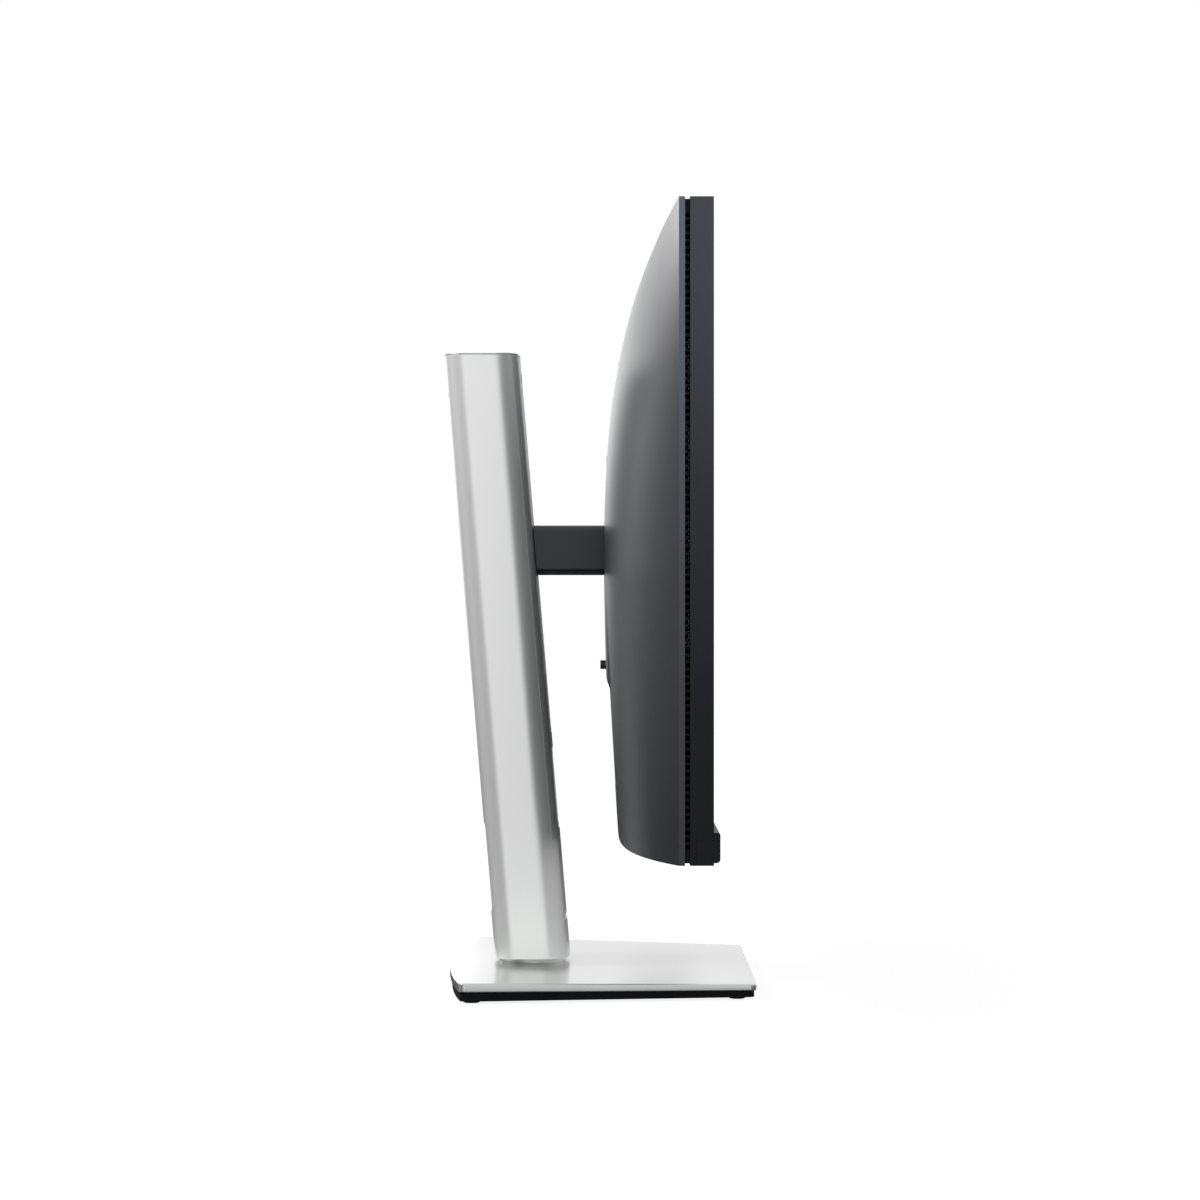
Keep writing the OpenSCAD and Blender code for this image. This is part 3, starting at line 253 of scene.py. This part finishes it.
def makeMouldGrain():
    c = mouldGrain
    group, gin, gout = newGroup("mouldGrain", {"Pits Per Metre": c["pits"]}, ["Height", "Tone"])
    place = addNode(group, "ShaderNodeTexCoord", -900, -200)
    pits = noiseNode(group, -500, 100, c["pits"], c["detail"], c["pitRough"])
    cells = addNode(group, "ShaderNodeTexVoronoi", -500, -150)
    tone = noiseNode(group, -500, -400, c["tone"], c["detail"], c["toneRough"])
    for node in (pits, cells, tone):
        group.links.new(place.outputs["Object"], node.inputs["Vector"])
    group.links.new(gin.outputs[0], pits.inputs["Scale"])
    coarser = addNode(group, "ShaderNodeMath", -700, -150, operation="MULTIPLY")
    coarser.inputs[1].default_value = c["cellShare"]
    group.links.new(gin.outputs[0], coarser.inputs[0])
    group.links.new(coarser.outputs[0], cells.inputs["Scale"])
    blend = addNode(group, "ShaderNodeMath", 100, 0, operation="MULTIPLY_ADD")
    blend.inputs[1].default_value = c["cellHeight"]
    group.links.new(cells.outputs["Distance"], blend.inputs[0])
    group.links.new(pits.outputs[0], blend.inputs[2])
    group.links.new(blend.outputs[0], gout.inputs[0])
    group.links.new(tone.outputs[0], gout.inputs[1])
    return group


# Metallic paint: small bright flakes over a smooth coat
paintFlake = {"flakes": 4200.0, "ripple": 900, "slow": 5, "slowShare": 0.35}


def makePaintFlake():
    c = paintFlake
    group, gin, gout = newGroup("paintFlake", {"Flakes Per Metre": c["flakes"]}, ["Height", "Tone"])
    place = addNode(group, "ShaderNodeTexCoord", -900, -200)
    cells = addNode(group, "ShaderNodeTexVoronoi", -500, 100)
    ripple = noiseNode(group, -500, -200, c["ripple"])
    slow = noiseNode(group, -500, -450, c["slow"])
    for node in (cells, ripple, slow):
        group.links.new(place.outputs["Object"], node.inputs["Vector"])
    group.links.new(gin.outputs[0], cells.inputs["Scale"])
    split = addNode(group, "ShaderNodeSeparateColor", -250, 100)
    group.links.new(cells.outputs["Color"], split.inputs[0])
    tone = addNode(group, "ShaderNodeMix", 100, 50, data_type="FLOAT")
    tone.inputs["Factor"].default_value = c["slowShare"]
    group.links.new(split.outputs[0], tone.inputs["A"])
    group.links.new(slow.outputs[0], tone.inputs["B"])
    group.links.new(ripple.outputs[0], gout.inputs[0])
    group.links.new(tone.outputs["Result"], gout.inputs[1])
    return group


# Lines left by rolling or turning, drawn out along one axis
drawnLines = {"along": {"Along X": 1.0, "Along Y": 1.0, "Along Z": 40.0}, "lines": 60, "lineDetail": 4.0,
              "lineRough": 0.65, "spangle": 160, "spangleShare": 0.4}


def makeDrawnLines():
    c = drawnLines
    group, gin, gout = newGroup("drawnLines", c["along"], ["Height", "Tone"])
    place = addNode(group, "ShaderNodeTexCoord", -900, -200)
    pull = addNode(group, "ShaderNodeCombineXYZ", -700, 100)
    for i in range(len(c["along"])):
        group.links.new(gin.outputs[i], pull.inputs[i])
    stretch = addNode(group, "ShaderNodeVectorMath", -500, 0, operation="MULTIPLY")
    group.links.new(place.outputs["Object"], stretch.inputs[0])
    group.links.new(pull.outputs[0], stretch.inputs[1])
    lines = noiseNode(group, -250, 100, c["lines"], c["lineDetail"], c["lineRough"])
    spangle = addNode(group, "ShaderNodeTexVoronoi", -250, -200)
    spangle.inputs["Scale"].default_value = c["spangle"]
    group.links.new(stretch.outputs[0], lines.inputs["Vector"])
    group.links.new(place.outputs["Object"], spangle.inputs["Vector"])
    tone = addNode(group, "ShaderNodeMix", 100, -50, data_type="FLOAT")
    tone.inputs["Factor"].default_value = c["spangleShare"]
    group.links.new(lines.outputs[0], tone.inputs["A"])
    group.links.new(spangle.outputs["Distance"], tone.inputs["B"])
    group.links.new(lines.outputs[0], gout.inputs[0])
    group.links.new(tone.outputs["Result"], gout.inputs[1])
    return group


# Thin dust that settles on what faces up
settledDust = {"amount": 0.2, "facing": (0.55, 1.0), "cloud": 60, "cloudDetail": 5.0, "cloudRough": 0.7,
               "colour": (0.55, 0.54, 0.52)}


def makeSettledDust():
    c = settledDust
    group, gin, gout = newGroup("settledDust", {"Amount": c["amount"]}, ["Mask"])
    place = addNode(group, "ShaderNodeTexCoord", -900, -200)
    facing = addNode(group, "ShaderNodeNewGeometry", -900, 200)
    split = addNode(group, "ShaderNodeSeparateXYZ", -700, 200)
    group.links.new(facing.outputs["Normal"], split.inputs[0])
    up = addNode(group, "ShaderNodeMapRange", -500, 200)
    up.inputs["From Min"].default_value, up.inputs["From Max"].default_value = c["facing"]
    group.links.new(split.outputs["Z"], up.inputs["Value"])
    cloud = noiseNode(group, -500, -100, c["cloud"], c["cloudDetail"], c["cloudRough"])
    group.links.new(place.outputs["Object"], cloud.inputs["Vector"])
    both = addNode(group, "ShaderNodeMath", -200, 0, operation="MULTIPLY")
    group.links.new(up.outputs[0], both.inputs[0])
    group.links.new(cloud.outputs[0], both.inputs[1])
    amount = addNode(group, "ShaderNodeMath", 0, 0, operation="MULTIPLY")
    group.links.new(both.outputs[0], amount.inputs[0])
    group.links.new(gin.outputs[0], amount.inputs[1])
    group.links.new(amount.outputs[0], gout.inputs[0])
    return group


# Copper tracks under solder mask
boardTracks = {"tracks": 420.0, "pads": 240, "trackPitch": 0.12, "trackEdge": 0.06, "padReach": 0.16}


def makeBoardTracks():
    c = boardTracks
    group, gin, gout = newGroup("boardTracks", {"Tracks Per Metre": c["tracks"]}, ["Height", "Tone"])
    place = addNode(group, "ShaderNodeTexCoord", -900, -200)
    cells = addNode(group, "ShaderNodeTexVoronoi", -500, 100, distance="MANHATTAN", feature="F1")
    pads = addNode(group, "ShaderNodeTexVoronoi", -500, -200)
    group.links.new(gin.outputs[0], cells.inputs["Scale"])
    pads.inputs["Scale"].default_value = c["pads"]
    for node in (cells, pads):
        group.links.new(place.outputs["Object"], node.inputs["Vector"])
    wave = addNode(group, "ShaderNodeMath", -250, 100, operation="PINGPONG")
    wave.inputs[1].default_value = c["trackPitch"]
    group.links.new(cells.outputs["Distance"], wave.inputs[0])
    line = addNode(group, "ShaderNodeMath", -80, 100, operation="GREATER_THAN")
    line.inputs[1].default_value = c["trackEdge"]
    group.links.new(wave.outputs[0], line.inputs[0])
    dot = addNode(group, "ShaderNodeMath", -80, -200, operation="LESS_THAN")
    dot.inputs[1].default_value = c["padReach"]
    group.links.new(pads.outputs["Distance"], dot.inputs[0])
    both = addNode(group, "ShaderNodeMath", 120, 0, operation="MAXIMUM")
    group.links.new(line.outputs[0], both.inputs[0])
    group.links.new(dot.outputs[0], both.inputs[1])
    group.links.new(both.outputs[0], gout.inputs[0])
    group.links.new(both.outputs[0], gout.inputs[1])
    return group


effects = {
    "grain": makeMouldGrain(), "flake": makePaintFlake(), "lines": makeDrawnLines(),
    "tracks": makeBoardTracks(), "dust": makeSettledDust(),
}


# A finish is one Principled shader with two tones, a roughness range, a fine bump and settled dust
def makeFinish(name, look):
    material = bpy.data.materials.new(name)
    material.use_nodes = True
    tree = material.node_tree
    shader = tree.nodes["Principled BSDF"]
    effect = addNode(tree, "ShaderNodeGroup", -900, 0)
    effect.node_tree = effects[look.get("effect", "grain")]
    for i, value in enumerate(look.get("scales", ())):
        effect.inputs[i].default_value = value
    tones = addNode(tree, "ShaderNodeMix", -550, 200, data_type="RGBA")
    tones.inputs["A"].default_value = (*look["dark"], 1)
    tones.inputs["B"].default_value = (*look["light"], 1)
    tree.links.new(effect.outputs["Tone"], tones.inputs["Factor"])
    colour = tones.outputs["Result"]
    if look.get("dust"):
        dust = addNode(tree, "ShaderNodeGroup", -900, 350)
        dust.node_tree = effects["dust"]
        dust.inputs[0].default_value = look["dust"]
        dusty = addNode(tree, "ShaderNodeMix", -300, 250, data_type="RGBA")
        dusty.inputs["B"].default_value = (*settledDust["colour"], 1)
        tree.links.new(dust.outputs[0], dusty.inputs["Factor"])
        tree.links.new(colour, dusty.inputs["A"])
        colour = dusty.outputs["Result"]
    tree.links.new(colour, shader.inputs["Base Color"])
    rough = addNode(tree, "ShaderNodeMapRange", -550, -100)
    rough.inputs["To Min"].default_value, rough.inputs["To Max"].default_value = look["rough"]
    tree.links.new(effect.outputs["Tone"], rough.inputs["Value"])
    tree.links.new(rough.outputs[0], shader.inputs["Roughness"])
    bump = addNode(tree, "ShaderNodeBump", -300, -300)
    bump.inputs["Strength"].default_value = look.get("bump", 0.3)
    bump.inputs["Distance"].default_value = look.get("depth", 0.00004)
    tree.links.new(effect.outputs["Height"], bump.inputs["Height"])
    tree.links.new(bump.outputs[0], shader.inputs["Normal"])
    for socket, value in look.get("sockets", {}).items():
        shader.inputs[socket].default_value = value
    return material


finishLooks = {
    "dark_plastic": {"dark": (0.0105, 0.0135, 0.019), "light": (0.0135, 0.0165, 0.022), "rough": (0.30, 0.36),
                     "scales": (1500,), "bump": 0.16, "depth": 0.00005, "dust": 0.05,
                     "sockets": {"Specular IOR Level": 0.45}},
    "frame_plastic": {"dark": (0.007, 0.0075, 0.009), "light": (0.009, 0.0097, 0.0115), "rough": (0.42, 0.52),
                      "scales": (1500,), "bump": 0.35, "depth": 0.00005, "dust": 0.03,
                      "sockets": {"Specular IOR Level": 0.12}},
    "black_plastic": {"dark": (0.0035, 0.004, 0.005), "light": (0.006, 0.0065, 0.0075), "rough": (0.45, 0.6),
                      "scales": (1300,), "bump": 0.4, "depth": 0.00006,
                      "sockets": {"Specular IOR Level": 0.08}},
    "button_plastic": {"dark": (0.013, 0.014, 0.016), "light": (0.02, 0.021, 0.023), "rough": (0.28, 0.36),
                       "scales": (2400,), "bump": 0.2, "depth": 0.00002},
    "lens_plastic": {"dark": (0.80, 0.82, 0.85), "light": (0.88, 0.9, 0.92), "rough": (0.12, 0.2),
                     "scales": (2400,), "bump": 0.05, "sockets": {"Transmission Weight": 0.6, "IOR": 1.49}},
    "screen_glass": {"dark": (0.0045, 0.005, 0.006), "light": (0.007, 0.0075, 0.009), "rough": (0.22, 0.28),
                     "scales": (5200,), "bump": 0.12, "depth": 0.00001,
                     "sockets": {"Coat Weight": 0.3, "Coat Roughness": 0.25}},
    "film": {"dark": (0.82, 0.83, 0.84), "light": (0.9, 0.9, 0.9), "rough": (0.35, 0.5), "scales": (900,),
             "bump": 0.1},
    "acrylic": {"dark": (0.82, 0.9, 0.93), "light": (0.9, 0.95, 0.97), "rough": (0.06, 0.14),
                "scales": (700,), "bump": 0.05, "sockets": {"Transmission Weight": 0.7, "IOR": 1.49}},
    "sheet_steel": {"effect": "lines", "dark": (0.50, 0.52, 0.54), "light": (0.66, 0.68, 0.70),
                    "rough": (0.3, 0.48), "scales": (40, 1, 1), "bump": 0.15, "sockets": {"Metallic": 1.0}},
    "dark_steel": {"effect": "grain", "dark": (0.055, 0.058, 0.062), "light": (0.075, 0.079, 0.084),
                   "rough": (0.42, 0.55), "scales": (1100,), "bump": 0.3, "depth": 0.00006,
                   "sockets": {"Metallic": 0.35}},
    "bright_steel": {"effect": "lines", "dark": (0.60, 0.61, 0.63), "light": (0.74, 0.75, 0.77),
                     "rough": (0.16, 0.3), "scales": (1, 30, 1), "bump": 0.1, "sockets": {"Metallic": 1.0}},
    "spring_steel": {"effect": "lines", "dark": (0.42, 0.43, 0.45), "light": (0.55, 0.56, 0.58),
                     "rough": (0.22, 0.36), "scales": (1, 1, 30), "bump": 0.15, "sockets": {"Metallic": 1.0}},
    "circuit_board": {"effect": "tracks", "dark": (0.010, 0.075, 0.035), "light": (0.018, 0.14, 0.06),
                      "rough": (0.3, 0.38), "scales": (420,), "bump": 0.3, "depth": 0.00003},
    "power_circuit_board": {"effect": "tracks", "dark": (0.30, 0.20, 0.09), "light": (0.42, 0.30, 0.15),
                            "rough": (0.45, 0.5), "scales": (260,), "bump": 0.3, "depth": 0.00003},
    "cable_film": {"effect": "lines", "dark": (0.45, 0.26, 0.05), "light": (0.62, 0.40, 0.09),
                   "rough": (0.25, 0.35), "scales": (60, 1, 1), "bump": 0.2},
    "washer_plastic": {"dark": (0.62, 0.58, 0.45), "light": (0.70, 0.66, 0.53), "rough": (0.35, 0.45),
                       "scales": (1500,), "bump": 0.2},
    "silver_paint": {"effect": "flake", "dark": (0.80, 0.81, 0.80), "light": (0.88, 0.89, 0.88),
                     "rough": (0.30, 0.33), "scales": (7000,), "bump": 0.02, "depth": 0.00002,
                     "sockets": {"Metallic": 0.5}},
    "silver_base": {"effect": "flake", "dark": (0.50, 0.51, 0.505), "light": (0.58, 0.59, 0.58),
                    "rough": (0.19, 0.22), "scales": (7000,), "bump": 0.02, "depth": 0.00002, "dust": 0.03,
                    "sockets": {"Metallic": 0.6}},
    "rubber": {"dark": (0.012, 0.012, 0.013), "light": (0.02, 0.02, 0.021), "rough": (0.7, 0.85),
               "scales": (900,), "bump": 0.5, "depth": 0.00008},
}
finishes = {name: makeFinish(name, look) for name, look in finishLooks.items()}
slotOfNode = {part["node"]: part["material_slot"] for part in frame["record"]["subparts"]}
bodyOfNode = {n: body for body, members in frame["record"]["behaviour"]["bodies"].items() for n in members}
for name, node in nodes.items():
    node.data.materials.clear()
    node.data.materials.append(finishes[slotOfNode[name]])
print("finishes ready:", len(finishes))


# ---- pieces that stand for CAD nodes ----

mergeReach = 3e-6                # metres: vertices closer than this are one


def adopt(piece, name):
    piece.data.materials.clear()
    piece.data.materials.append(finishes[slotOfNode[name]])
    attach(piece, bodyOfNode[name])
    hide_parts(name)
    return piece


def cleanCopy(name, flatAngle=0.4):
    work = bmesh.new()
    work.from_mesh(nodes[name].data)
    bmesh.ops.remove_doubles(work, verts=work.verts, dist=mergeReach)
    bmesh.ops.dissolve_limit(work, angle_limit=math.radians(flatAngle), verts=work.verts, edges=work.edges)
    return work


def newPiece(label, work):
    mesh = bpy.data.meshes.new(label)
    work.to_mesh(mesh)
    work.free()
    mesh.validate()
    piece = bpy.data.objects.new(label, mesh)
    scene.collection.objects.link(piece)
    return piece


def smoothUnder(work, angle):
    for face in work.faces:
        face.smooth = True
    for edge in work.edges:
        edge.smooth = edge.calc_face_angle(0) < math.radians(angle)


edgeShape = {"rounds": 2, "angle": 32, "flatFaceWeight": 100}


# A moulded or machined copy of a node: small rounded edges, smooth where it curves
def softEdges(name, radius):
    work = cleanCopy(name)
    smoothUnder(work, edgeShape["angle"])
    piece = newPiece(name + "Skin", work)
    bevel = piece.modifiers.new("edges", "BEVEL")
    bevel.width = radius * millimetre
    bevel.segments = edgeShape["rounds"]
    bevel.limit_method = "ANGLE"
    bevel.angle_limit = math.radians(edgeShape["angle"])
    bevel.use_clamp_overlap = True
    bevel.miter_outer = "MITER_ARC"
    bevel.harden_normals = False
    weigh = piece.modifiers.new("shading", "WEIGHTED_NORMAL")
    weigh.keep_sharp = False
    weigh.weight = edgeShape["flatFaceWeight"]
    adopt(piece, name)


edgeRadii = {
    "middle_frame": 0.45, "chin_bezel": 0.5, "plate_trim": 0.6, "quick_release_plate": 0.5,
    "arm_cover_left": 0.2, "arm_cover_right": 0.2, "arm_bracket": 0.5, "tilt_bracket": 0.5, "carriage": 0.5,
    "column_shell": 0.2, "column_front": 0.35, "column_lower_front": 0.35, "column_cap": 0.6,
    "base_cover": 0.7, "base_tray": 0.4, "rubber_feet": 0.3, "swivel_hub": 0.4,
    "release_button": 0.12, "power_button": 0.35, "joystick_cap": 0.6, "power_led_lens": 0.2,
    "power_inlet": 0.3, "video_ports": 0.12, "usb_ports": 0.12, "thumbscrew": 0.4, "thumbscrew_handle": 0.25,
    "cover_screws": 0.2, "base_screws": 0.2, "release_latch": 0.2, "slot_cover": 0.2,
}
for name, radius in edgeRadii.items():
    softEdges(name, radius)
print("edges rounded on", len(edgeRadii), "pieces")


# Rear cover: the same bulge as the moulding's surface, drawn finely
rearCover = {
    "width": 611.3, "height": 355.4, "lower": 92.1, "frontPlane": 62.5, "bulgeAt": 18.6,
    "bulge": 39.4, "bulgeTop": 9.4, "bulgeBottom": 30.9, "belly": 158.0,
    "risePower": 2.75,                      # how fast the spine swells below the top
    "dropPower": 1.166,                     # how fast it falls off below the belly
    "sidePower": 3.8, "sidePowerTop": 1.3, "sidePowerGain": 2.5,  # how square the crown is across the width
    "padHeight": 1.7, "padHalf": 104.0, "padAt": 183.0, "padSideEase": 6, "padFootEase": 4,
    "finest": 7.0, "passes": 4, "reach": 1.4, "rearFacing": 0.1,
}


def clamped(t):
    return max(0.0, min(1.0, t))


def smoothStep(t):
    t = clamped(t)
    return t * t * (3 - 2 * t)


def bulgeAt(x, z):
    c = rearCover
    top = c["lower"] + c["height"]
    belly = c["lower"] + c["belly"]
    if z > belly:
        rise = 1 - (1 - clamped((top - z) / (top - belly))) ** c["risePower"]
        spine = c["bulgeTop"] + (c["bulge"] - c["bulgeTop"]) * rise
        power = c["sidePowerTop"] + c["sidePowerGain"] * rise
    else:
        drop = (c["bulge"] - c["bulgeBottom"]) / c["belly"] ** c["dropPower"]
        spine = c["bulge"] - drop * max(0.0, belly - z) ** c["dropPower"]
        power = c["sidePower"]
    side, foot = c["padSideEase"], c["padFootEase"]
    pad = (c["padHeight"] * smoothStep((c["padHalf"] + side - abs(x)) / (2 * side))
           * smoothStep((z - c["padAt"] + foot) / (2 * foot)) * clamped((belly - z) / (belly - c["padAt"])))
    return spine * (1 - min(1.0, abs(x) / (c["width"] / 2)) ** power) + pad


def bulgeY(x, z):
    start = rearCover["bulgeAt"] - rearCover["frontPlane"]
    return (start + bulgeAt(x / millimetre, z / millimetre)) * millimetre


def makeRearCover():
    c = rearCover
    work = bmesh.new()
    work.from_mesh(nodes["rear_cover"].data)
    bmesh.ops.remove_doubles(work, verts=work.verts, dist=mergeReach)
    outer = work.verts.layers.int.new("outer")
    halfWidth = c["width"] / 2 * millimetre
    for vert in work.verts:
        inside = abs(vert.co.x) < halfWidth + mergeReach
        near = abs(vert.co.y - bulgeY(vert.co.x, vert.co.z)) < c["reach"] * millimetre
        vert[outer] = int(inside and near)
    for _ in range(c["passes"]):
        bmesh.ops.triangulate(work, faces=work.faces[:])
        long = [e for e in work.edges if e.verts[0][outer] and e.verts[1][outer]
                and e.calc_length() > c["finest"] * millimetre]
        if not long:
            break
        made = bmesh.ops.subdivide_edges(work, edges=long, cuts=1)
        for item in made["geom_inner"]:
            if isinstance(item, bmesh.types.BMVert):
                item[outer] = 1
    for vert in work.verts:
        if vert[outer]:
            vert.co.y = bulgeY(vert.co.x, vert.co.z)
    bmesh.ops.triangulate(work, faces=work.faces[:])
    for face in work.faces:
        face.smooth = all(v[outer] for v in face.verts) and face.normal.y > c["rearFacing"]
    for edge in work.edges:
        faces = edge.link_faces
        edge.smooth = len(faces) == 2 and faces[0].smooth and faces[1].smooth
    print("rear cover:", len(work.faces), "faces")
    adopt(newPiece("rearCoverSkin", work), "rear_cover")


makeRearCover()
print("rear cover ready")


# Release spring: a smooth-shaded copy of the coil. The seat lies 2.8 mm deeper than the coil's inner end
releaseSpring = {"joint": "release_press", "seat": (0, -0.0249, 0.1934), "pressed": 0.69,
                 "smoothAngle": 50, "flatAngle": 0.1}


def makeReleaseSpring():
    work = cleanCopy("release_spring", releaseSpring["flatAngle"])
    smoothUnder(work, releaseSpring["smoothAngle"])
    spring = adopt(newPiece("releaseSpringSkin", work), "release_spring")
    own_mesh(spring)


makeReleaseSpring()
print("release spring ready")
